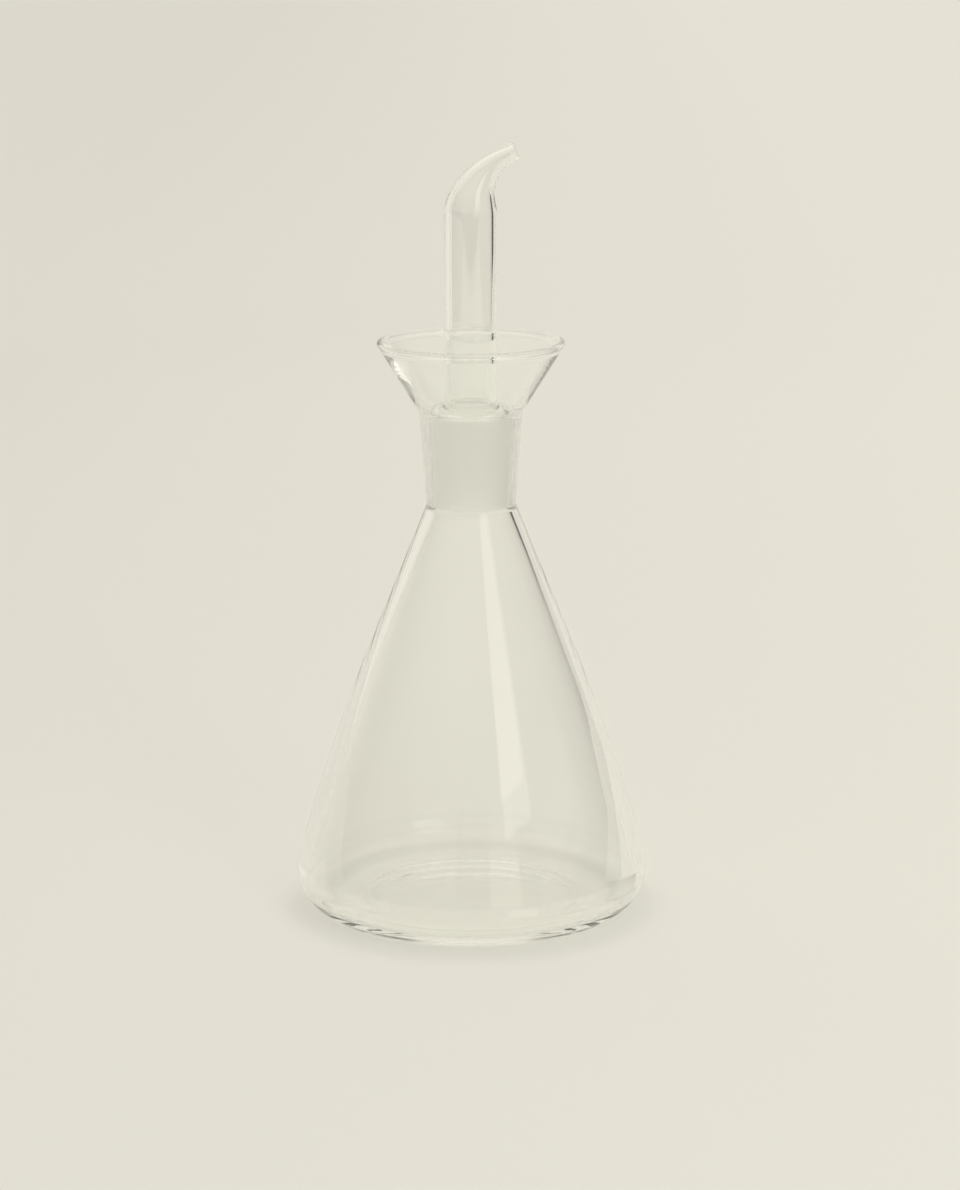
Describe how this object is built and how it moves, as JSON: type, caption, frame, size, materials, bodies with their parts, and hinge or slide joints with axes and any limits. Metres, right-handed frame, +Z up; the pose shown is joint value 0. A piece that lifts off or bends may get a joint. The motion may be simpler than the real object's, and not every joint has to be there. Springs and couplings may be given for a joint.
{
  "type": "glass oil cruet with a spout stopper",
  "caption": "Clear glass oil cruet: a conical flask with a funnel lip, closed by a hollow ground stopper that rises into a bent pouring spout.",
  "frame": {"origin": "on the axis of the flask, in the plane that it stands on", "axes": "+Z up the axis to the spout, +X the way the spout points, +Y away from the viewer when the spout points right"},
  "size_m": [0.1016, 0.1016, 0.2217],
  "materials": {
    "flask_glass": "clear and fire-polished, frosted where the socket is ground",
    "stopper_glass": "clear and fire-polished, frosted where the cone is ground"
  },
  "bodies": {
    "root": {"flask": "flask_glass", "spout_stopper": "stopper_glass"}
  },
  "joints": []
}
